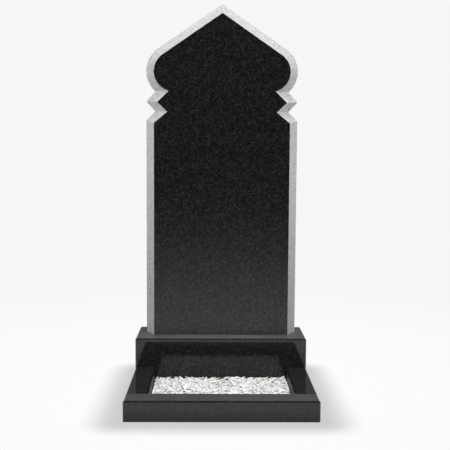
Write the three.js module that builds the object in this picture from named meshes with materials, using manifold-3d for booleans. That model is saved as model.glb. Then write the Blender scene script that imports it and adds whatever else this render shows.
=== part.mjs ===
// A grave monument in stone: a tall stele with a pointed onion-dome head, the plinth it stands on,
// a low kerb of three bars in front of the plinth, and a bed of stone chippings inside the kerb.
// Millimetres, +Z up. The origin is on the ground at the middle of the footprint. The face of the
// stele and the kerb look towards -Y.

import * as THREE from "three";
import { ConvexGeometry } from "three/addons/geometries/ConvexGeometry.js";
import { mergeVertices } from "three/addons/utils/BufferGeometryUtils.js";
import Module from "manifold-3d";

const wasm = await Module();
wasm.setup();

// Stele. Its outline, from the foot up: parallel sides, a shoulder sloping in to a notch, a pointed
// tooth, a second notch, and a round bulb whose upper side runs on as a straight slope to the apex.
const steleWidth = 538;
const steleThickness = 80;
const sideHeight = 764;
const shoulderRise = 31;
const toothRise = 35.5;
const notchDepth = 32;
const bulbRadius = 96;
const headRise = 306;

// A slope is cut all round the polished face, except along the foot. So the face has an outline of
// its own, of the same kind but smaller. Its corners lie this far in and down from those of the rim.
const bevelDepth = 50;
const faceSideIn = 30.5;
const faceShoulderDown = 11;
const faceLowerNotchIn = 45;
const faceLowerNotchDown = 3;
const faceToothIn = 42;
const faceToothDown = 5.5;
const faceUpperNotchIn = 50;
const faceUpperNotchDown = 1.5;
const faceBulbRadius = 70;
const faceApexDown = 39.5;

// Plinth, which shows this much beyond the stele at each side, and before and behind it.
const plinthSideMargin = 31;
const plinthFaceMargin = 60;
const plinthHeight = 167;

// Kerb, as wide outside as the plinth, from the plinth's front face to its own front edge.
const kerbLength = 386;
const barWidth = 70;
const frontBarWidth = 80;
const barHeight = 65;

// The narrow slope taken off the edges of each polished block, and the gap left between pieces.
const arris = 4;
const joint = 0.3;

// Chippings: a level bed with one layer of angular stones sunk into it. A stone's corners reach out
// to a share of its sizes, and it lies off the middle of its place by a share of the spacing.
const bedHeight = 25.5;
const chipLength = 38;
const chipBreadth = 30;
const chipThickness = 23;
const chipSpacing = 30;
const chipSunk = 3;
const chipCorners = 8;
const chipTilt = 0.5;
const chipRoot = 15;
const chipLeastReach = 0.38;
const chipReachChance = 0.12;
const chipScatter = 0.4;
const chipSeed = 2026;

// Fineness of the round stretches.
const bulbSteps = 20;

const plinthWidth = steleWidth + 2 * plinthSideMargin;
const plinthDepth = steleThickness + 2 * plinthFaceMargin;
const plinthFront = (kerbLength - plinthDepth) / 2;
const plinthMiddle = plinthFront + plinthDepth / 2;
const kerbFront = plinthFront - kerbLength;
const barInside = plinthWidth / 2 - barWidth;

const polishedStone = { color: 0x1c1c1d, roughness: 0.08, metalness: 0 };
const whiteStone = { color: 0xe6e4de, roughness: 0.85, metalness: 0 };

// A closed body from outlines of equal length stacked along +Z, each anticlockwise seen from above.
function stack(levels) {
  const corners = levels.flatMap(({ outline, height }) =>
    outline.map((point) => new THREE.Vector3(point.x, point.y, height)));
  const count = levels[0].outline.length;
  const last = (levels.length - 1) * count;
  const triangles = [];
  for (let level = 0; level < last; level += count) {
    for (let here = 0; here < count; here += 1) {
      const next = (here + 1) % count;
      triangles.push([level + count + here, level + here, level + next]);
      triangles.push([level + count + here, level + next, level + count + next]);
    }
  }
  const bottom = THREE.ShapeUtils.triangulateShape(levels[0].outline, []);
  const top = THREE.ShapeUtils.triangulateShape(levels.at(-1).outline, []);
  triangles.push(...bottom.map(([a, b, c]) => [c, b, a]));
  triangles.push(...top.map((triangle) => triangle.map((index) => last + index)));

  const filled = triangles.filter(([a, b, c]) =>
    new THREE.Triangle(corners[a], corners[b], corners[c]).getArea() > 0);
  const geometry = new THREE.BufferGeometry().setFromPoints(corners);
  geometry.setIndex(filled.flat());
  return mergeVertices(geometry);
}

// A block on z = 0, centred on x and y, with arrises round its top. The one at its ends, across y,
// is set apart, because an end that butts against another piece is left square.
function block(width, depth, height, endArris) {
  const level = (sideInset, endInset, cornerX, cornerY) => {
    const x = width / 2 - sideInset;
    const y = depth / 2 - endInset;
    return [
      new THREE.Vector2(x, -y + cornerY),
      new THREE.Vector2(x, y - cornerY),
      new THREE.Vector2(x - cornerX, y),
      new THREE.Vector2(-x + cornerX, y),
      new THREE.Vector2(-x, y - cornerY),
      new THREE.Vector2(-x, -y + cornerY),
      new THREE.Vector2(-x + cornerX, -y),
      new THREE.Vector2(x - cornerX, -y),
    ];
  };
  return stack([
    { outline: level(0, 0, arris, endArris), height: 0 },
    { outline: level(0, 0, arris, endArris), height: height - arris },
    { outline: level(arris, endArris, 0, 0), height },
  ]);
}

// The corners on the right half of the rim and of the face, from the foot up to the upper notch, each
// with its distance from the middle and its height.
const side = steleWidth / 2;
const notchSide = side - notchDepth;
const lowerNotchHeight = sideHeight + shoulderRise;
const toothHeight = lowerNotchHeight + toothRise;
const upperNotchHeight = toothHeight + toothRise;
const apexHeight = upperNotchHeight + headRise;

const rim = {
  corners: [
    new THREE.Vector2(side, 0),
    new THREE.Vector2(side, sideHeight),
    new THREE.Vector2(notchSide, lowerNotchHeight),
    new THREE.Vector2(side, toothHeight),
    new THREE.Vector2(notchSide, upperNotchHeight),
  ],
  apex: new THREE.Vector2(0, apexHeight),
  radius: bulbRadius,
};
const face = {
  corners: [
    new THREE.Vector2(side - faceSideIn, 0),
    new THREE.Vector2(side - faceSideIn, sideHeight - faceShoulderDown),
    new THREE.Vector2(notchSide - faceLowerNotchIn, lowerNotchHeight - faceLowerNotchDown),
    new THREE.Vector2(side - faceToothIn, toothHeight - faceToothDown),
    new THREE.Vector2(notchSide - faceUpperNotchIn, upperNotchHeight - faceUpperNotchDown),
  ],
  apex: new THREE.Vector2(0, apexHeight - faceApexDown),
  radius: faceBulbRadius,
};

// A whole outline, drawn in x and y and anticlockwise. The bulb starts at the upper notch and touches
// the line of the sides.
function steleOutline({ corners, apex, radius }) {
  const upperNotch = corners.at(-1);
  const bulb = new THREE.Vector2(corners[0].x - radius, 0);
  bulb.y = upperNotch.y + Math.sqrt(radius ** 2 - (upperNotch.x - bulb.x) ** 2);

  // The slope to the apex touches the bulb where the bulb's radius stands square to it.
  const toApex = apex.clone().sub(bulb);
  const touchAngle = toApex.angle() - Math.acos(radius / toApex.length());
  const startAngle = upperNotch.clone().sub(bulb).angle() - 2 * Math.PI;
  const half = corners.slice(0, -1);
  for (let step = 0; step <= bulbSteps; step += 1) {
    const angle = THREE.MathUtils.lerp(startAngle, touchAngle, step / bulbSteps);
    const spoke = new THREE.Vector2(Math.cos(angle), Math.sin(angle));
    half.push(spoke.multiplyScalar(radius).add(bulb));
  }
  const mirrored = half.map((point) => new THREE.Vector2(-point.x, point.y)).reverse();
  return [...half, apex, ...mirrored];
}

// The stele lying on its back: a square rim, then the slope, then the face on top.
function steleGeometry() {
  return stack([
    { outline: steleOutline(rim), height: 0 },
    { outline: steleOutline(rim), height: steleThickness - bevelDepth },
    { outline: steleOutline(face), height: steleThickness },
  ]);
}

// Numbers from 0 to 1, the same on each run.
function seededRandom(seed) {
  const multiplier = 16807;
  const modulus = 2147483647;
  let state = seed;
  return () => {
    state = (state * multiplier) % modulus;
    return state / modulus;
  };
}

function toSolid(geometry) {
  const bare = geometry.clone();
  bare.deleteAttribute("normal");
  bare.deleteAttribute("uv");
  const welded = mergeVertices(bare);
  return new wasm.Manifold(new wasm.Mesh({
    numProp: 3,
    vertProperties: new Float32Array(welded.attributes.position.array),
    triVerts: new Uint32Array(welded.index.array),
  }));
}

function toGeometry(solid) {
  const { vertProperties, triVerts } = solid.getMesh();
  const geometry = new THREE.BufferGeometry();
  geometry.setAttribute("position", new THREE.BufferAttribute(vertProperties, 3));
  geometry.setIndex(new THREE.BufferAttribute(triVerts, 1));
  return geometry;
}

// One angular stone, its middle at the bed's level: corners spread round a ball by the golden angle,
// each pushed in by chance. Its sides go straight down into the bed, so that no hollow is left
// under it.
function chip(random) {
  const goldenAngle = Math.PI * (3 - Math.sqrt(5));
  const turn = new THREE.Euler(
    (random() - 0.5) * chipTilt,
    (random() - 0.5) * chipTilt,
    random() * Math.PI,
    "ZYX",
  );
  const corners = [];
  for (let index = 0; index < chipCorners; index += 1) {
    const height = 1 - 2 * (index + 0.5) / chipCorners;
    const reach = Math.sqrt(1 - height * height);
    const angle = index * goldenAngle + random();
    const spread = chipLeastReach + chipReachChance * random();
    const corner = new THREE.Vector3(
      reach * Math.cos(angle) * spread * chipLength,
      reach * Math.sin(angle) * spread * chipBreadth,
      height * spread * chipThickness,
    );
    corner.applyEuler(turn);
    corners.push(corner, new THREE.Vector3(corner.x, corner.y, -chipRoot));
  }
  return new ConvexGeometry(corners);
}

// The bed fills the space inside the kerb, and stones that reach its edges are cut flat there, as if
// they lay against the bars.
function chippingsGeometry() {
  const random = seededRandom(chipSeed);
  const width = 2 * (barInside - joint);
  const depth = kerbLength - frontBarWidth - 2 * joint;
  const space = new THREE.BoxGeometry(width, depth, barHeight);
  space.translate(0, 0, barHeight / 2);
  const bed = new THREE.BoxGeometry(width, depth, bedHeight);
  bed.translate(0, 0, bedHeight / 2);
  const solids = [toSolid(bed)];
  const columns = Math.round(width / chipSpacing);
  const rows = Math.round(depth / chipSpacing);
  for (let row = 0; row < rows; row += 1) {
    for (let column = 0; column < columns; column += 1) {
      const stone = chip(random);
      const acrossShare = (column + 0.5 + chipScatter * (random() - 0.5)) / columns - 0.5;
      const alongShare = (row + 0.5 + chipScatter * (random() - 0.5)) / rows - 0.5;
      stone.translate(acrossShare * width, alongShare * depth, bedHeight - chipSunk * random());
      solids.push(toSolid(stone));
    }
  }
  return toGeometry(wasm.Manifold.union(solids).intersect(toSolid(space)));
}

function piece(name, geometry, finish, x, y, z) {
  const material = new THREE.MeshStandardMaterial({ ...finish, flatShading: true });
  const mesh = new THREE.Mesh(geometry, material);
  mesh.name = name;
  mesh.position.set(x, y, z);
  return mesh;
}

const monument = new THREE.Group();

const steleBack = plinthMiddle + steleThickness / 2;
const stele = piece("stele", steleGeometry(), polishedStone, 0, steleBack, plinthHeight + joint);
stele.rotation.x = Math.PI / 2;
const plinthShape = block(plinthWidth, plinthDepth, plinthHeight, arris);
const plinth = piece("plinth", plinthShape, polishedStone, 0, plinthMiddle, 0);
monument.add(stele, plinth);

const frontShape = block(plinthWidth, frontBarWidth, barHeight, arris);
const frontMiddle = kerbFront + frontBarWidth / 2;
const frontBar = piece("kerb_front", frontShape, polishedStone, 0, frontMiddle, 0);
const sideLength = kerbLength - frontBarWidth - 2 * joint;
const sideX = barInside + barWidth / 2;
const sideMiddle = plinthFront - joint - sideLength / 2;
const leftShape = block(barWidth, sideLength, barHeight, 0);
const leftBar = piece("kerb_left", leftShape, polishedStone, -sideX, sideMiddle, 0);
const rightShape = block(barWidth, sideLength, barHeight, 0);
const rightBar = piece("kerb_right", rightShape, polishedStone, sideX, sideMiddle, 0);
monument.add(frontBar, leftBar, rightBar);

monument.add(piece("gravel_bed", chippingsGeometry(), whiteStone, 0, sideMiddle, 0));

export default monument;
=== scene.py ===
# %% [markdown]
# A headstone in polished black stone.
# The monument is a tall stele with a pointed dome head, the plinth it stands on, a low kerb of
# three bars, and a bed of white chippings inside the kerb. The solids of all six pieces are
# loaded as a fixed frame, in metres. Here they get their finish. The plinth and the bars keep
# their solids and get a material. The stele is made again with slopes that are really rough, and
# the bed with separate broken stones.

# %% Load the solids
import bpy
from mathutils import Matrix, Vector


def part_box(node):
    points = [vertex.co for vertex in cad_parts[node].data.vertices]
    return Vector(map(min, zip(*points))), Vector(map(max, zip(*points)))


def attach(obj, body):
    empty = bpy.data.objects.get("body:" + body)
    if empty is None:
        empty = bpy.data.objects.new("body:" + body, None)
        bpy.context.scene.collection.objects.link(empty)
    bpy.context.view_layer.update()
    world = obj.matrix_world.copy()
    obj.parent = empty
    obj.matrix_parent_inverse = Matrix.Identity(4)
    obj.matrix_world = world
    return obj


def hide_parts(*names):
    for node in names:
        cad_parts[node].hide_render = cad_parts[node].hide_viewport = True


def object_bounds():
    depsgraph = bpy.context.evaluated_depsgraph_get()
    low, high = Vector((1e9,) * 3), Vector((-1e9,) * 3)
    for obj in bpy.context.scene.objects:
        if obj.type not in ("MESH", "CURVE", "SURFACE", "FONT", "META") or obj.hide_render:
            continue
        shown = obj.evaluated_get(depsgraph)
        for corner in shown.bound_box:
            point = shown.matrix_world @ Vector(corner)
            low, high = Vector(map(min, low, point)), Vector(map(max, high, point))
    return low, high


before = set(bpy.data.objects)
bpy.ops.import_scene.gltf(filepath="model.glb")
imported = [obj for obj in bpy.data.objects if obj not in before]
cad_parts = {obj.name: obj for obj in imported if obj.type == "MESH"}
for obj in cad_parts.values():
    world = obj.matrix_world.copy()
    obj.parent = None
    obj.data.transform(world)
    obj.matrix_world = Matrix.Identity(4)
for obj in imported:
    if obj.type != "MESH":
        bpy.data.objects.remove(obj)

cad_box = [list(corner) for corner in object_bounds()]
print("nodes:", sorted(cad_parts))
print("size of the solids, m:", [round(high - low, 4) for low, high in zip(*cad_box)])

# %% [markdown]
# Helpers for all cells.
# Sizes are written in millimetres, as on a mason's drawing, and turned into metres. A mesh could
# be made at the origin and moved into place. Here every vertex is written where it really lies,
# so a piece can be compared with its solid number by number.

# %% Helpers for all cells
import math

import bmesh
import bpy
import numpy as np
from mathutils import Euler, Matrix, Vector, noise

MM = 0.001


def link(thing):
    bpy.context.scene.collection.objects.link(thing)
    return thing


def make_piece(name, vertices, faces, materials, node):
    """A mesh in the row frame that stands for one solid."""
    mesh = bpy.data.meshes.new(name)
    mesh.from_pydata(vertices, [], faces)
    for material in materials:
        mesh.materials.append(material)
    mesh.update()
    thing = link(bpy.data.objects.new(name, mesh))
    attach(thing, "root")
    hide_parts(node)
    return thing


# %% [markdown]
# The camera.
# The photograph was taken from a little above half the height of the stele, about 2.7 m in front
# of the plinth. A camera could be set by eye, but then the proportions of the stones couldn't be
# compared with the picture. So place, angles and focal length were worked out from the corners of
# the plinth, kerb and stele, and the shift stays at zero. The camera looks down by almost five
# degrees, turns a little to the right and leans by a third of a degree.

# %% Camera
IMAGE_WIDTH_PX = 450
FOCAL_LENGTH_PX = 778.6
SENSOR_MM = 36.0
CAMERA_PITCH = math.radians(4.79)
CAMERA_YAW = math.radians(0.80)
CAMERA_ROLL = math.radians(0.34)
CAMERA_FROM_PLINTH = Vector((-0.0258, -2.687, 0.7928))
PLINTH_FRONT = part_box("plinth")[0][1]

camera_data = bpy.data.cameras.new("camera")
camera_data.sensor_width = SENSOR_MM
camera_data.lens = SENSOR_MM * FOCAL_LENGTH_PX / IMAGE_WIDTH_PX
camera = link(bpy.data.objects.new("camera", camera_data))
looking = Euler((math.pi / 2 - CAMERA_PITCH, 0, -CAMERA_YAW)).to_matrix()
turned = looking @ Matrix.Rotation(CAMERA_ROLL, 3, "Z")
camera.location = CAMERA_FROM_PLINTH + Vector((0, PLINTH_FRONT, 0))
camera.rotation_euler = turned.to_euler()
bpy.context.scene.camera = camera
print("lens, mm:", round(camera_data.lens, 2), "at", [round(c, 3) for c in camera.location])

# %% [markdown]
# Helpers for shaders.
# Every material below is a small net of nodes. Such a net could be drawn by hand in the shader
# editor. In a script, a few helpers that place a node and join its sockets let each material read
# as a short recipe.


# %% Node helpers
def feed(tree, socket, value):
    """Joins an output to a socket, or sets a plain value on it."""
    if isinstance(value, bpy.types.NodeSocket):
        tree.links.new(value, socket)
    else:
        socket.default_value = value


def add_node(tree, kind, inputs=None, **settings):
    """A node of a kind, with its settings, and each input either a value or an output to join."""
    node = tree.nodes.new(kind)
    for key, value in settings.items():
        setattr(node, key, value)
    for key, value in (inputs or {}).items():
        feed(tree, node.inputs[key], value)
    return node


def math_node(tree, operation, first, second=0.0, clamp=False):
    inputs = {0: first, 1: second}
    return add_node(tree, "ShaderNodeMath", inputs, operation=operation, use_clamp=clamp).outputs[0]


def vector_math(tree, operation, first, second=(0, 0, 0)):
    return add_node(tree, "ShaderNodeVectorMath", {0: first, 1: second}, operation=operation).outputs


def axis_of(tree, vector, axis):
    return add_node(tree, "ShaderNodeSeparateXYZ", {0: vector}).outputs[axis]


def map_range(tree, value, low, high, to_low=0.0, to_high=1.0, **settings):
    inputs = {"Value": value, "From Min": low, "From Max": high, "To Min": to_low, "To Max": to_high}
    return add_node(tree, "ShaderNodeMapRange", inputs, **settings).outputs["Result"]


def mix_colour(tree, share, first, second):
    return add_node(tree, "ShaderNodeMix", {0: share, 6: first, 7: second}, data_type="RGBA").outputs[2]


def mix_number(tree, share, first, second):
    return add_node(tree, "ShaderNodeMix", {0: share, 2: first, 3: second}, data_type="FLOAT").outputs[0]


# %% Group and material helpers
COLOUR = "NodeSocketColor"
NUMBER = "NodeSocketFloat"
VECTOR = "NodeSocketVector"
RELIEF_DEPTH = 0.3 * MM


def new_group(name, inputs, outputs):
    """A shader node group, with its ends placed. Inputs give name, kind and value."""
    tree = bpy.data.node_groups.new(name, "ShaderNodeTree")
    for socket_name, kind, value in inputs:
        socket = tree.interface.new_socket(socket_name, in_out="INPUT", socket_type=kind)
        if value is not None:
            socket.default_value = value
    for socket_name, kind in outputs:
        tree.interface.new_socket(socket_name, in_out="OUTPUT", socket_type=kind)
    start = tree.nodes.new("NodeGroupInput")
    end = tree.nodes.new("NodeGroupOutput")
    return tree, start.outputs, end.inputs


def place_group(tree, group, inputs):
    return add_node(tree, "ShaderNodeGroup", inputs, node_tree=group).outputs


def new_material(name):
    """A material with its Principled shader, and the coordinates of the object in metres."""
    material = bpy.data.materials.new(name)
    material.use_nodes = True
    tree = material.node_tree
    shader = tree.nodes["Principled BSDF"]
    place = tree.nodes.new("ShaderNodeTexCoord").outputs["Object"]
    return material, tree, shader, place


def add_relief(tree, shader, height, strength):
    """Fine pits and bumps that catch the light, driven by a height."""
    inputs = {"Height": height, "Strength": strength, "Distance": RELIEF_DEPTH}
    relief = add_node(tree, "ShaderNodeBump", inputs)
    tree.links.new(relief.outputs["Normal"], shader.inputs["Normal"])


# %% [markdown]
# The grain of the stone.
# The stone is a black gabbro: dark crystals two or three millimetres across, a few of them grey
# feldspar, and soft clouds where the mix changes. Polished, it looks black with a fine glitter.
# Broken by a tool, the same crystals scatter light and look light grey with dark specks. Scanned
# stone could be laid over the blocks, but it would smear round the arrises. A texture that fills
# space has no seams, and one group of it makes both finishes: cells of a Voronoi texture are the
# crystals, and a noise makes the clouds.

# %% Grain group
FLECK_SHARPNESS = 12.0
CLOUDS_TO_CRYSTALS = 0.26
CLOUD_STARTS = 0.45
CLOUD_FULL = 0.72

grain, grain_in, grain_out = new_group(
    "stone_grain",
    [
        ("Place", VECTOR, None),
        ("Crystals per metre", NUMBER, 600.0),
        ("Ground", COLOUR, (0.01, 0.01, 0.01, 1)),
        ("Fleck", COLOUR, (0.05, 0.05, 0.05, 1)),
        ("Fleck share", NUMBER, 0.1),
        ("Cloud colour", COLOUR, (0.02, 0.02, 0.02, 1)),
        ("Cloud strength", NUMBER, 0.5),
    ],
    [("Colour", COLOUR), ("Fleck mask", NUMBER), ("Height", NUMBER)],
)
crystals = add_node(grain, "ShaderNodeTexVoronoi", {
    "Vector": grain_in["Place"],
    "Scale": grain_in["Crystals per metre"],
})
crystal_tone = add_node(grain, "ShaderNodeSeparateColor", {"Color": crystals.outputs["Color"]})
threshold = math_node(grain, "SUBTRACT", 1.0, grain_in["Fleck share"])
above = math_node(grain, "SUBTRACT", crystal_tone.outputs[0], threshold)
fleck_mask = math_node(grain, "MULTIPLY", above, FLECK_SHARPNESS, clamp=True)
clouds = add_node(grain, "ShaderNodeTexNoise", {
    "Vector": grain_in["Place"],
    "Scale": math_node(grain, "MULTIPLY", grain_in["Crystals per metre"], CLOUDS_TO_CRYSTALS),
    "Detail": 5.0,
    "Roughness": 0.65,
}).outputs["Fac"]
cloud_mask = map_range(grain, clouds, CLOUD_STARTS, CLOUD_FULL)
cloud_share = math_node(grain, "MULTIPLY", cloud_mask, grain_in["Cloud strength"])
clouded = mix_colour(grain, cloud_share, grain_in["Ground"], grain_in["Cloud colour"])
feed(grain, grain_out["Colour"], mix_colour(grain, fleck_mask, clouded, grain_in["Fleck"]))
feed(grain, grain_out["Fleck mask"], fleck_mask)
feed(grain, grain_out["Height"], math_node(grain, "ADD", crystal_tone.outputs[1], clouds))
print("group:", grain.name)

# %% [markdown]
# Settled dust and painted sheen.
# Outdoors a thin veil of dust lies on whatever faces up, and dulls the polish there. Its pale
# colour also lightens the tops as a painted sheen. It could be painted on by hand, but the surface
# itself says where dust can lie. So the group finds upward surfaces by their normal, thins the veil
# towards the outer ends, so that the middle of a top is lighter, as a painted sheen, breaks it up
# with a noise, and mixes its colour and its roughness in.

# %% Dust and sheen group
FACING_UP_STARTS = 0.8
FACING_UP_FULL = 0.98
PATCHES_PER_METRE = 9.0
MIDDLE_SHEEN_STARTS = 140 * MM
MIDDLE_SHEEN_FULL = 290 * MM
SHEEN_LEFT_AT_ENDS = 0.74
UNEVENNESS = 0.25
DULLING = 4.0

dust_and_sheen, dust_and_sheen_in, dust_and_sheen_out = new_group(
    "dust_and_painted_sheen",
    [
        ("Place", VECTOR, None),
        ("Colour", COLOUR, (0.01, 0.01, 0.01, 1)),
        ("Roughness", NUMBER, 0.1),
        ("Dust and sheen colour", COLOUR, (0.4, 0.38, 0.35, 1)),
        ("Amount", NUMBER, 0.2),
        ("Dull roughness", NUMBER, 0.35),
    ],
    [("Colour", COLOUR), ("Roughness", NUMBER)],
)
facing = dust_and_sheen.nodes.new("ShaderNodeNewGeometry").outputs["True Normal"]
# Faces that look up get the pale veil: settled dust, and a painted sheen on the tops.
facing_up = map_range(dust_and_sheen, axis_of(dust_and_sheen, facing, "Z"), FACING_UP_STARTS, FACING_UP_FULL)
patches = add_node(dust_and_sheen, "ShaderNodeTexNoise", {
    "Vector": dust_and_sheen_in["Place"],
    "Scale": PATCHES_PER_METRE,
    "Detail": 6.0,
    "Roughness": 0.65,
})
uneven = map_range(dust_and_sheen, patches.outputs["Fac"], 0.25, 0.75, 1 - UNEVENNESS, 1 + UNEVENNESS)
# The veil thins towards the outer ends, so the middle of a top is lighter: a painted sheen.
from_middle = math_node(dust_and_sheen, "ABSOLUTE", axis_of(dust_and_sheen, dust_and_sheen_in["Place"], "X"))
middle_sheen = map_range(dust_and_sheen, from_middle, MIDDLE_SHEEN_STARTS, MIDDLE_SHEEN_FULL, 1.0, SHEEN_LEFT_AT_ENDS)
veil_share = math_node(dust_and_sheen, "MULTIPLY", math_node(dust_and_sheen, "MULTIPLY", facing_up, uneven), middle_sheen)
dust_and_sheen_veil = math_node(dust_and_sheen, "MULTIPLY", veil_share, dust_and_sheen_in["Amount"], clamp=True)
feed(dust_and_sheen, dust_and_sheen_out["Colour"], mix_colour(dust_and_sheen, dust_and_sheen_veil, dust_and_sheen_in["Colour"], dust_and_sheen_in["Dust and sheen colour"]))
dull_share = math_node(dust_and_sheen, "MULTIPLY", dust_and_sheen_veil, DULLING, clamp=True)
dulled = mix_number(dust_and_sheen, dull_share, dust_and_sheen_in["Roughness"], dust_and_sheen_in["Dull roughness"])
feed(dust_and_sheen, dust_and_sheen_out["Roughness"], dulled)
print("group:", dust_and_sheen.name)

# %% [markdown]
# Polished stone.
# A real polish is nearly a mirror over a nearly black ground, so the stone shows the pale floor
# before it, bright at the foot and fading upwards. That could be painted as a gradient, but it
# would stay where it is when the view turns. So it comes from the shader: a base colour near one
# per cent, a low roughness and the stone's own index of refraction. The grain changes the colour
# and the roughness a little, crystal by crystal. The blocks are polished the finest. The stele's
# face is a little duller, so its reflections are soft. Splashed dust clings to its lower half,
# between the crystals, and has gathered along its foot. The tops of the plinth and the front bar
# are dusty, and their pale dust is also a painted sheen. The faces towards the bed are left sawn.

# %% Polished material
POLISHED_GROUND = (0.0034, 0.0034, 0.0035, 1)
POLISHED_FLECK = (0.036, 0.036, 0.037, 1)
POLISHED_CLOUD = (0.0180, 0.0180, 0.0185, 1)
SPLASHED_CLOUD = (0.038, 0.038, 0.038, 1)
SPLASH_HEIGHT = 650 * MM
DUST_AND_SHEEN_COLOUR = (0.40, 0.385, 0.355, 1)
FOOT_DUST = 0.11
FOOT_DUST_HEIGHT = 15 * MM
STELE_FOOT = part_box("stele")[0][2]
FLECKS_ROUGHER = 0.07
POLISHED = 0.045
HONED = 0.16
SAWN = 0.5
POLISHED_IOR = 1.52
SAWN_IOR = 1.35


def black_stone(name, finish=POLISHED, ior=POLISHED_IOR, haze=0.0, dust_and_sheen_on_top=0.0, dull=0.2, foot=None):
    """Black stone: its roughness when clean, its haze all over, and the dust on its top,
    whose pale colour there is also a painted sheen.

    Dull is the roughness under thick dust. A face that stands on a ledge also has dust along its
    foot, at the height given.
    """
    material, tree, shader, place = new_material(name)
    cloud_colour = POLISHED_CLOUD
    if foot is not None:
        above_ground = axis_of(tree, place, "Z")
        haze = map_range(tree, above_ground, foot, foot + FOOT_DUST_HEIGHT, FOOT_DUST, haze)
        splash = map_range(tree, above_ground, foot, foot + SPLASH_HEIGHT, 1.0, 0.0)
        cloud_colour = mix_colour(tree, splash, POLISHED_CLOUD, SPLASHED_CLOUD)
    stone = place_group(tree, grain, {
        "Place": place,
        "Crystals per metre": 420.0,
        "Ground": POLISHED_GROUND,
        "Fleck": POLISHED_FLECK,
        "Fleck share": 0.07,
        "Cloud colour": cloud_colour,
        "Cloud strength": 0.8,
    })
    top = place_group(tree, dust_and_sheen, {
        "Place": place,
        "Colour": mix_colour(tree, haze, stone["Colour"], DUST_AND_SHEEN_COLOUR),
        "Roughness": map_range(tree, stone["Fleck mask"], 0.0, 1.0, finish, finish + FLECKS_ROUGHER),
        "Dust and sheen colour": DUST_AND_SHEEN_COLOUR,
        "Amount": dust_and_sheen_on_top,
        "Dull roughness": dull,
    })
    feed(tree, shader.inputs["Base Color"], top["Colour"])
    feed(tree, shader.inputs["Roughness"], top["Roughness"])
    feed(tree, shader.inputs["IOR"], ior)
    return material


honed_face = black_stone("polished_stone", finish=HONED, foot=STELE_FOOT)
polished_bar = black_stone("polished_stone_bars", haze=0.008, dust_and_sheen_on_top=0.035)
# On these tops the pale dust also stands for a painted sheen.
dusty_sheened_bar = black_stone("polished_stone_tops", haze=0.008, dust_and_sheen_on_top=0.19, dull=0.45)
dusty_sheened_ledge = black_stone("polished_stone_ledge", haze=0.012, dust_and_sheen_on_top=0.31, dull=0.45)
sawn_side = black_stone("sawn_stone", finish=SAWN, ior=SAWN_IOR)
black_finishes = (honed_face, polished_bar, dusty_sheened_bar, dusty_sheened_ledge, sawn_side)
print("black finishes:", [material.name for material in black_finishes])

# %% [markdown]
# Tooled stone.
# The slope round the face is left as the tool cut it, so it is the same stone, light grey and
# matt. A plain grey could stand for it, but up close the slope would look like plaster. So the
# grain group gives light crystals with dark specks, and its height drives a fine bump. The lower
# half is a little darker: a painted shade, since less light from the floor reaches it.

# %% Tooled material
LOWER_SHADE_COLOUR = (0.18, 0.178, 0.172, 1)
LOWER_SHADE_SHARE = 0.24
LOWER_SHADE_THINS_AT = 360 * MM
LOWER_SHADE_ENDS_AT = 740 * MM
TOOLED_ROUGHNESS = 0.85
TOOLED_RELIEF = 0.6

tooled_stone, tree, shader, place = new_material("tooled_stone")
stone = place_group(tree, grain, {
    "Place": place,
    "Crystals per metre": 430.0,
    "Ground": (0.56, 0.56, 0.565, 1),
    "Fleck": (0.24, 0.24, 0.245, 1),
    "Fleck share": 0.2,
    "Cloud colour": (0.38, 0.38, 0.385, 1),
    "Cloud strength": 0.65,
})
above_ground = axis_of(tree, place, "Z")
# Painted shade: the slope is darker towards the bottom.
painted_lower_shade = map_range(tree, above_ground, LOWER_SHADE_THINS_AT, LOWER_SHADE_ENDS_AT, LOWER_SHADE_SHARE, 0.0)
feed(tree, shader.inputs["Base Color"], mix_colour(tree, painted_lower_shade, stone["Colour"], LOWER_SHADE_COLOUR))
feed(tree, shader.inputs["Roughness"], TOOLED_ROUGHNESS)
add_relief(tree, shader, stone["Height"], TOOLED_RELIEF)
print("material:", tooled_stone.name)

# %% [markdown]
# White chippings.
# Crushed marble breaks into angular splinters, some whiter than others. Each stone could have a
# material of its own, but there are thousands. So they share one, and each stone's tone is stored
# on its faces when the mesh is made. Faint grey veins run through some of them.

# %% Chippings material
DULL_MARBLE = (0.53, 0.52, 0.50, 1)
WHITE_MARBLE = (0.99, 0.985, 0.97, 1)
VEIN_COLOUR = (0.60, 0.59, 0.57, 1)
VEIN_SHARE = 0.14
VEINS_PER_METRE = 90.0
CRUMBS_PER_METRE = 900.0
MARBLE_ROUGHNESS = 0.6
MARBLE_RELIEF = 0.5

marble, tree, shader, place = new_material("marble_chippings")
tone = add_node(tree, "ShaderNodeAttribute", attribute_name="stone_tone").outputs["Fac"]
veins = add_node(tree, "ShaderNodeTexNoise", {"Vector": place, "Scale": VEINS_PER_METRE, "Detail": 5.0})
vein_share = map_range(tree, veins.outputs["Fac"], 0.35, 0.6, VEIN_SHARE, 0.0)
stone_tone = mix_colour(tree, tone, DULL_MARBLE, WHITE_MARBLE)
feed(tree, shader.inputs["Base Color"], mix_colour(tree, vein_share, stone_tone, VEIN_COLOUR))
feed(tree, shader.inputs["Roughness"], MARBLE_ROUGHNESS)
crumb = add_node(tree, "ShaderNodeTexNoise", {"Vector": place, "Scale": CRUMBS_PER_METRE, "Detail": 3.0})
add_relief(tree, shader, crumb.outputs["Fac"], MARBLE_RELIEF)
print("material:", marble.name)

# %% [markdown]
# The outlines of the stele.
# From the foot up, each side runs straight to a shoulder, slopes in to a notch, out to a pointed
# tooth and in to a second notch. A round bulb starts there, and its upper side runs on straight to
# the apex. The slope round the face could be a bevel on one outline, but a bevel is equally wide
# all round, and the width of this slope changes from edge to edge. So rim and face have an outline
# each, and the slope runs straight from each point of the rim to its partner on the face. Every
# edge is divided into the same number of short steps on both, so the slope is a grid of small
# squares that can be roughened.

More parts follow.
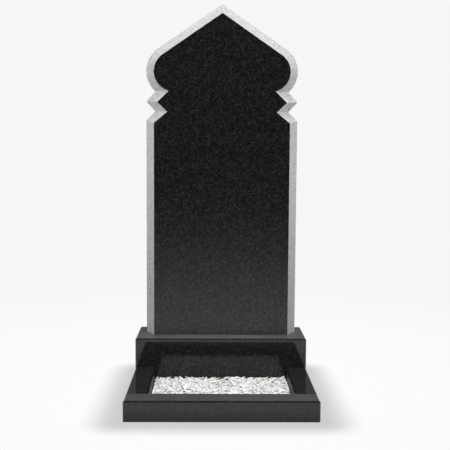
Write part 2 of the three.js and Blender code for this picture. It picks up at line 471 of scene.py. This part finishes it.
# %% Sizes of the stele
stele_low, stele_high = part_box("stele")
SIDE = stele_high[0]
FACE_Y = stele_low[1]
BACK_Y = stele_high[1]
SIDE_HEIGHT = 764 * MM
SHOULDER_RISE = 31 * MM
TOOTH_RISE = 35.5 * MM
NOTCH_DEPTH = 32 * MM
SLOPE_DEPTH = 50 * MM

rim_corners = np.array([
    (SIDE, 0),
    (SIDE, SIDE_HEIGHT),
    (SIDE - NOTCH_DEPTH, SIDE_HEIGHT + SHOULDER_RISE),
    (SIDE, SIDE_HEIGHT + SHOULDER_RISE + TOOTH_RISE),
    (SIDE - NOTCH_DEPTH, SIDE_HEIGHT + SHOULDER_RISE + 2 * TOOTH_RISE),
])
rim_apex = np.array((0, stele_high[2] - STELE_FOOT))
RIM_BULB_RADIUS = 96 * MM

face_in = np.array((30.5, 30.5, 45, 42, 50)) * MM
face_down = np.array((0, 11, 3, 5.5, 1.5)) * MM
face_corners = rim_corners - np.column_stack((face_in, face_down))
face_apex = rim_apex - (0, 39.5 * MM)
FACE_BULB_RADIUS = 70 * MM
print("stele, mm:", [round((high - low) / MM, 1) for low, high in zip(stele_low, stele_high)])

# %% Outlines of rim and face
GRID_STEP = 2.4 * MM
BULB_ARC = 270 * MM
TOP_EDGE = 215 * MM
edge_lengths = np.hypot(*np.diff(rim_corners, axis=0).T)
edge_steps = np.round(edge_lengths / GRID_STEP).astype(int)


def along(start, end, count):
    """Points from start towards end, without the end itself."""
    return start + (end - start) * np.arange(count)[:, None] / count


def outline(corners, apex, radius):
    """Points of an outline, anticlockwise from its right foot."""
    notch = corners[-1]
    bulb_x = corners[0][0] - radius
    bulb_rise = math.sqrt(radius ** 2 - (notch[0] - bulb_x) ** 2)
    bulb = np.array((bulb_x, notch[1] + bulb_rise))
    to_apex = apex - bulb
    touch_angle = math.atan2(to_apex[1], to_apex[0]) - math.acos(radius / np.hypot(*to_apex))
    start_angle = math.atan2(notch[1] - bulb[1], notch[0] - bulb[0])
    angles = along(np.array([start_angle]), np.array([touch_angle]), round(BULB_ARC / GRID_STEP))
    touch = bulb + radius * np.array((math.cos(touch_angle), math.sin(touch_angle)))
    half = [along(*edge) for edge in zip(corners, corners[1:], edge_steps)]
    half.append(bulb + radius * np.hstack((np.cos(angles), np.sin(angles))))
    half.append(along(touch, apex, round(TOP_EDGE / GRID_STEP)))
    half = np.vstack(half)
    return np.vstack((half, apex, half[::-1] * (-1, 1)))


rim_outline = outline(rim_corners, rim_apex, RIM_BULB_RADIUS)
face_outline = outline(face_corners, face_apex, FACE_BULB_RADIUS)
print("points on each outline:", len(rim_outline), len(face_outline))

# %% [markdown]
# The stele.
# The mesh is a stack of outlines from the back to the face: straight over the rim, then moving in
# over the slope. A displacement could roughen it, but that would move the flat faces too. So the
# tooled surface alone is pushed inwards by a noise, by about half a millimetre at most, and the
# line where it meets the polish is nibbled in the same way. Front and back stay flat and polished.

# %% Stele mesh
TOOL_DEPTH = 0.55 * MM
TOOL_MARKS_PER_METRE = 210.0
USUAL_CUT = 0.5
CUT_VARIES = 0.55
NIBBLE = 0.5 * MM
RIM_STEPS = 12
SLOPE_STEPS = 24


def stele_levels():
    """Depth, share of the way to the face, and roughness, for each level from back to face."""
    rim_front = FACE_Y + SLOPE_DEPTH
    levels = []
    for step in range(RIM_STEPS):
        depth = BACK_Y + (rim_front - BACK_Y) * step / RIM_STEPS
        levels.append((depth, 0.0, 1.0 if step else 0.0))
    for step in range(SLOPE_STEPS + 1):
        share = step / SLOPE_STEPS
        levels.append((rim_front - SLOPE_DEPTH * share, share, 1.0))
    return levels


def cut_depth(place, share, rough):
    """How far the tool has cut into the surface at a place."""
    if share == 1.0:
        return NIBBLE * max(0.0, noise.noise(place * TOOL_MARKS_PER_METRE)) ** 2
    pits = noise.fractal(place * TOOL_MARKS_PER_METRE, 0.9, 2.0, 3)
    return TOOL_DEPTH * min(1.0, max(0.0, USUAL_CUT + CUT_VARIES * pits)) * rough


def rough_stele():
    to_face = face_outline - rim_outline
    inward = to_face / np.hypot(*to_face.T)[:, None]
    levels = stele_levels()
    vertices = []
    for depth, share, rough in levels:
        for (x, z), push in zip(rim_outline + to_face * share, inward):
            cut = cut_depth(Vector((x, depth, z)), share, rough)
            vertices.append((x + push[0] * cut, depth, STELE_FOOT + max(0.0, z + push[1] * cut)))
    count = len(rim_outline)
    last = (len(levels) - 1) * count
    faces = []
    for level in range(0, last, count):
        for here in range(count):
            after = (here + 1) % count
            faces.append((level + count + here, level + here, level + after, level + count + after))
    faces.append(tuple(reversed(range(count))))
    faces.append(tuple(range(last, last + count)))
    return vertices, faces


vertices, faces = rough_stele()
stele = make_piece("stele_stone", vertices, faces, [tooled_stone, honed_face], "stele")
for polygon in stele.data.polygons:
    polygon.material_index = 1 if len(polygon.vertices) > 4 else 0
print("stele:", len(vertices), "vertices,", len(faces), "faces")

# %% [markdown]
# Plinth and kerb.
# These blocks are plain, with narrow arrises. They could be made again, but their solids have the
# right shape already, so they keep it and get a polish. Dust dulls the tops of the plinth and the
# front bar the most, and its pale colour there is also a painted sheen. The side bars stay
# cleaner, so the dark plinth shows in their tops. The faces towards the bed are sawn.

# %% Finish of the blocks
block_finish = {
    "plinth": (dusty_sheened_ledge, (0, 0, 0)),
    "kerb_front": (dusty_sheened_bar, (0, 1, 0)),
    "kerb_left": (polished_bar, (1, 0, 0)),
    "kerb_right": (polished_bar, (-1, 0, 0)),
}
for name, (outside, towards_bed) in block_finish.items():
    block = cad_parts[name]
    block.data.materials.clear()
    block.data.materials.append(outside)
    block.data.materials.append(sawn_side)
    for polygon in block.data.polygons:
        polygon.use_smooth = False
        polygon.material_index = 1 if polygon.normal.dot(Vector(towards_bed)) > 0.99 else 0
    print(name, "in", outside.name)

# %% [markdown]
# One broken stone.
# A splinter could be a cube with its corners moved, but its faces would bend. The hull of a few
# points scattered on a long, flat ball has flat faces and sharp edges, like broken marble. A few
# dozen different splinters are enough, because each is turned and sized anew where it lies. Each
# is kept as its corners and its triangles.

# %% Splinters
SPLINTER_KINDS = 40
SPLINTER_CORNERS = 9
random = np.random.default_rng(20)


def splinter():
    directions = random.normal(size=(SPLINTER_CORNERS, 3))
    directions /= np.linalg.norm(directions, axis=1)[:, None]
    reach = random.uniform(0.75, 1.0, SPLINTER_CORNERS)[:, None]
    sizes = (1.0, random.uniform(0.22, 0.36), random.uniform(0.16, 0.28))
    hull = bmesh.new()
    for corner in directions * reach * sizes:
        hull.verts.new(corner)
    made = bmesh.ops.convex_hull(hull, input=hull.verts)
    inside = [v for v in made["geom_interior"] if isinstance(v, bmesh.types.BMVert)]
    bmesh.ops.delete(hull, geom=inside, context="VERTS")
    bmesh.ops.recalc_face_normals(hull, faces=hull.faces)
    hull.verts.index_update()
    corners = np.array([v.co for v in hull.verts])
    triangles = np.array([[v.index for v in face.verts] for face in hull.faces])
    hull.free()
    return corners, triangles


splinters = [splinter() for _ in range(SPLINTER_KINDS)]
print("splinters:", len(splinters), "with", np.mean([len(t) for _, t in splinters]), "faces each")

# %% [markdown]
# The bed of chippings.
# The stones could be dropped by a rigid body simulation, but thousands of them take many minutes.
# Laying them one by one gives the same look in seconds. A height map of the bed is kept in steps
# of two millimetres. For each stone a few places are tried. The planes of its lower faces say how
# low it can come to rest on the map at each, the lowest place is taken, and its upper side is then
# added to the map. So the stones touch and fill the kerb up to its walls, as poured chippings do,
# with dark gaps between them. Most end a little below the top of the bed, and a few stick up to it.

# %% Sizes of the bed
MAP_STEP = 2 * MM
FLOOR_UNDER_STONES = 9 * MM
WALL_GAP = 0.6 * MM
SHORTEST = 12 * MM
LONGEST = 23 * MM
TILT = math.radians(31)
SPIKE_TILT = math.radians(54)
SPIKE_CHANCE = 0.24
SPIKE_RISE = 8 * MM
PLACES_TRIED = 10
MISSES_ALLOWED = 60
UPRIGHT = 1e-12

bed_low, bed_high = (np.array(corner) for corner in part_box("gravel_bed"))
left, front = bed_low[:2] + WALL_GAP
right, back = bed_high[:2] - WALL_GAP
print("bed, mm:", round((right - left) / MM), "by", round((back - front) / MM))


# %% A stone and its surfaces
def turned_splinter(tilt):
    """A splinter at a random size and attitude, with the planes of its faces."""
    corners, triangles = splinters[random.integers(SPLINTER_KINDS)]
    size = random.uniform(SHORTEST, LONGEST)
    attitude = Euler((random.normal(0, tilt), random.normal(0, tilt), random.uniform(0, 2 * math.pi)))
    corners = size * corners @ np.array(attitude.to_matrix()).T
    a, b, c = (corners[triangles[:, k]] for k in range(3))
    normals = np.cross(b - a, c - a)
    reach = np.einsum("ij,ij->i", normals, a)
    return corners, triangles, normals, reach


def surfaces(stone, x, y):
    """The lower and upper surface of a stone centred on x, y, over the cells of the map."""
    corners, _, normals, reach = stone
    low = corners[:, :2].min(axis=0) + (x - left, y - front)
    high = corners[:, :2].max(axis=0) + (x - left, y - front)
    columns = np.arange(int(low[0] / MAP_STEP), int(high[0] / MAP_STEP) + 1)
    rows = np.arange(int(low[1] / MAP_STEP), int(high[1] / MAP_STEP) + 1)
    column, row = np.meshgrid(columns, rows, indexing="ij")
    dx = (column + 0.5) * MAP_STEP + left - x
    dy = (row + 0.5) * MAP_STEP + front - y
    sloping = np.abs(normals[:, 2]) > UPRIGHT
    slopes = normals[sloping]
    flat = slopes[:, 0, None, None] * dx + slopes[:, 1, None, None] * dy
    heights = (reach[sloping][:, None, None] - flat) / slopes[:, 2, None, None]
    up = slopes[:, 2] > 0
    upper = heights[up].min(axis=0)
    lower = heights[~up].max(axis=0)
    return column, row, lower, upper, upper > lower


# %% Laying the stones
def lowest_place(stone, height_map):
    """The lowest of a few places where a stone can come to rest, or None."""
    reach = np.abs(stone[0][:, :2]).max(axis=0)
    lowest_rest = FLOOR_UNDER_STONES - stone[0][:, 2].min()
    best = None
    for _ in range(PLACES_TRIED):
        spot = random.uniform((left, front), (right, back))
        x, y = np.clip(spot, (left, front) + reach, (right, back) - reach)
        column, row, lower, upper, filled = surfaces(stone, x, y)
        if not filled.any():
            continue
        rest = max(lowest_rest, (height_map[column, row] - lower)[filled].max())
        if best is None or rest < best[0]:
            best = (rest, x, y, column, row, upper, filled)
    return best


def lay_stones():
    map_size = (int((right - left) / MAP_STEP) + 2, int((back - front) / MAP_STEP) + 2)
    height_map = np.full(map_size, FLOOR_UNDER_STONES)
    laid = []
    misses = 0
    while misses < MISSES_ALLOWED:
        spike = random.random() < SPIKE_CHANCE
        stone = turned_splinter(SPIKE_TILT if spike else TILT)
        limit = bed_high[2] if spike else bed_high[2] - SPIKE_RISE
        best = lowest_place(stone, height_map)
        if best is None or best[0] + stone[0][:, 2].max() > limit:
            misses += 1
            continue
        misses = 0
        rest, x, y, column, row, upper, filled = best
        raised = np.maximum(height_map[column, row], np.where(filled, upper + rest, 0.0))
        height_map[column, row] = raised
        laid.append((stone[0] + (x, y, rest), stone[1]))
    return laid, height_map


laid, height_map = lay_stones()
print("stones:", len(laid), "mean top, mm:", round(height_map.mean() / MM, 1))

# %% [markdown]
# One mesh for the bed.
# Each stone could be an object, but thousands of objects are slow to draw and to export. So all of
# them go into one mesh, on a low block that hides the ground between them. The block takes the
# dullest tone, as a painted shade in the gaps. A tone is drawn for each stone, with most near the
# white end.

# %% Bed mesh
WHITENESS = 0.25

base = bmesh.new()
bmesh.ops.create_cube(base, size=1.0)
base_low = np.array((left, front, bed_low[2]))
base_size = np.array((right, back, FLOOR_UNDER_STONES)) - base_low
corners = [base_low + base_size * (np.array(v.co) + 0.5) for v in base.verts]
vertices = [np.array(corners)]
faces = [[v.index for v in face.verts] for face in base.faces]
# The block gets the dullest tone: painted shade in the gaps between the stones.
tones = [0.0] * len(faces)
base.free()
start = len(corners)
for corners, triangles in laid:
    vertices.append(corners)
    faces += (triangles + start).tolist()
    tones += [random.uniform(0.0, 1.0) ** WHITENESS] * len(triangles)
    start += len(corners)

chippings = make_piece(
    "chippings", np.vstack(vertices).tolist(), faces, [marble], "gravel_bed"
)
tone_of_face = chippings.data.attributes.new("stone_tone", "FLOAT", "FACE")
tone_of_face.data.foreach_set("value", tones)
print("chippings:", len(faces), "faces")

# %% [markdown]
# The floor.
# The floor is plain and pale, with a soft painted shade round where the monument stands on it, and
# it runs over into the pale background. A white floor alone would light the stone from below and
# show in the polish from foot to apex. Round a studio set the floor dims with distance instead,
# which gives the face its slow change from grey to black. So the floor glows, with one brightness
# for the camera, one for mirrored rays and one for the light it throws back on the stone. That
# last glow is dimmed near the monument, a painted shade for the light the stones keep off it.

# %% Floor disc
FLOOR_RADIUS = 14.0
FLOOR_DROP = 0.5 * MM

floor_mesh = bpy.data.meshes.new("floor")
ring = bmesh.new()
bmesh.ops.create_circle(ring, cap_ends=True, segments=96, radius=FLOOR_RADIUS)
ring.to_mesh(floor_mesh)
ring.free()
floor = link(bpy.data.objects.new("floor", floor_mesh))
floor.location.z = -FLOOR_DROP
print("floor radius, m:", FLOOR_RADIUS)

# %% Floor paint
SEEN_NEAR = (0.985, 0.98, 0.965, 1)
SEEN_FAR = (0.925, 0.925, 0.925, 1)
SEEN_NEAR_WITHIN = 0.5
SEEN_FAR_BEYOND = 2.5
MIRRORED_BRIGHTNESS = 0.97
MIRRORED_DIMS_AT = 2.6
BOUNCED_NEAR = 0.1
BOUNCED_FAR = 1.0
BOUNCED_REACH = 1.6
RIM_SHADE = 0.62
RIM_REACH = 160 * MM

floor_paint, tree, shader, place = new_material("floor_paint")
footprint = [high - low for low, high in zip(*cad_box)]
half_size = (footprint[0] / 2, footprint[1] / 2, 1.0)
beyond = vector_math(tree, "SUBTRACT", vector_math(tree, "ABSOLUTE", place)[0], half_size)[0]
rim_distance = vector_math(tree, "LENGTH", vector_math(tree, "MAXIMUM", beyond)[0])["Value"]
# Painted shade: the floor darkens towards the rim of the monument.
shade = map_range(
    tree, rim_distance, 0.0, RIM_REACH, RIM_SHADE, 1.0, interpolation_type="SMOOTHERSTEP"
)
distance = vector_math(tree, "LENGTH", place)["Value"]
ratio = math_node(tree, "POWER", math_node(tree, "DIVIDE", distance, MIRRORED_DIMS_AT), 2.0)
mirrored = math_node(tree, "DIVIDE", MIRRORED_BRIGHTNESS, math_node(tree, "ADD", ratio, 1.0))
seen_colour = mix_colour(
    tree, map_range(tree, distance, SEEN_NEAR_WITHIN, SEEN_FAR_BEYOND), SEEN_NEAR, SEEN_FAR
)


def glow(strength, colour=(1, 1, 1, 1)):
    return add_node(tree, "ShaderNodeEmission", {"Color": colour, "Strength": strength}).outputs[0]


def choose(share, first, second):
    return add_node(tree, "ShaderNodeMixShader", {0: share, 1: first, 2: second}).outputs[0]


# Painted shade: the light thrown back on the stone is dimmed near the monument.
bounced_glow = glow(map_range(tree, rim_distance, 0.0, BOUNCED_REACH, BOUNCED_NEAR, BOUNCED_FAR))
mirrored_glow = glow(math_node(tree, "MULTIPLY", mirrored, shade))
path = tree.nodes.new("ShaderNodeLightPath").outputs
for_stone = choose(path["Is Glossy Ray"], bounced_glow, mirrored_glow)
for_all = choose(path["Is Camera Ray"], for_stone, glow(shade, seen_colour))
feed(tree, tree.nodes["Material Output"].inputs["Surface"], for_all)
tree.nodes.remove(shader)
floor_mesh.materials.append(floor_paint)
print("material:", floor_paint.name)

# %% [markdown]
# The surroundings.
# The background is as pale as the far floor. If the polish mirrored all of it, the stone would
# look grey. So the surroundings have the same three brightnesses as the floor: pale to the camera,
# a soft dome of light on the matt stone, and a dark room in the polish, a little lighter behind
# and above the stele.

# %% World
SEEN_WORLD = 0.925
DOME = 0.46
MIRRORED_FRONT = 0.03
MIRRORED_BEHIND = 0.13
MIRRORED_ABOVE = 0.10
BEHIND_STARTS = -0.2
BEHIND_FULL = 0.6
ABOVE_STARTS = 0.25
ABOVE_FULL = 0.7

world = bpy.data.worlds.new("studio")
bpy.context.scene.world = world
world.use_nodes = True
tree = world.node_tree
background = tree.nodes["Background"]
direction = tree.nodes.new("ShaderNodeTexCoord").outputs["Generated"]
backward = axis_of(tree, direction, "Y")
behind = map_range(tree, backward, BEHIND_STARTS, BEHIND_FULL, MIRRORED_FRONT, MIRRORED_BEHIND)
overhead = map_range(tree, axis_of(tree, direction, "Z"), ABOVE_STARTS, ABOVE_FULL)
mirrored = mix_number(tree, overhead, behind, MIRRORED_ABOVE)
path = tree.nodes.new("ShaderNodeLightPath").outputs
for_stone = mix_number(tree, path["Is Glossy Ray"], DOME, mirrored)
feed(tree, background.inputs["Strength"], mix_number(tree, path["Is Camera Ray"], for_stone, SEEN_WORLD))
feed(tree, background.inputs["Color"], (1, 1, 1, 1))
bpy.context.scene.view_settings.view_transform = "Standard"
print("world:", world.name)

# %% [markdown]
# The lights.
# Two soft round lamps do the rest. One hangs high in front and to the right, and makes the upper
# slopes and the chippings bright. The other is above the camera and lights the slopes at the
# sides. A sun could do both, but its shadows would be hard. The lamps themselves don't show in the
# polish.


# %% Lights
def area_light(name, place, aim, size, watts):
    data = bpy.data.lights.new(name, "AREA")
    data.shape = "DISK"
    data.size = size
    data.energy = watts
    light = link(bpy.data.objects.new(name, data))
    light.location = place
    light.rotation_euler = (Vector(aim) - Vector(place)).to_track_quat("-Z", "Y").to_euler()
    light.visible_glossy = False
    print(name, "of", watts, "W at", place)


area_light("top_light", place=(0.34, -0.5, 3.6), aim=(0, 0, 0.4), size=1.0, watts=29)
area_light("front_light", place=(-0.04, -2.2, 2.0), aim=(0, 0.1, 0.5), size=0.5, watts=58)
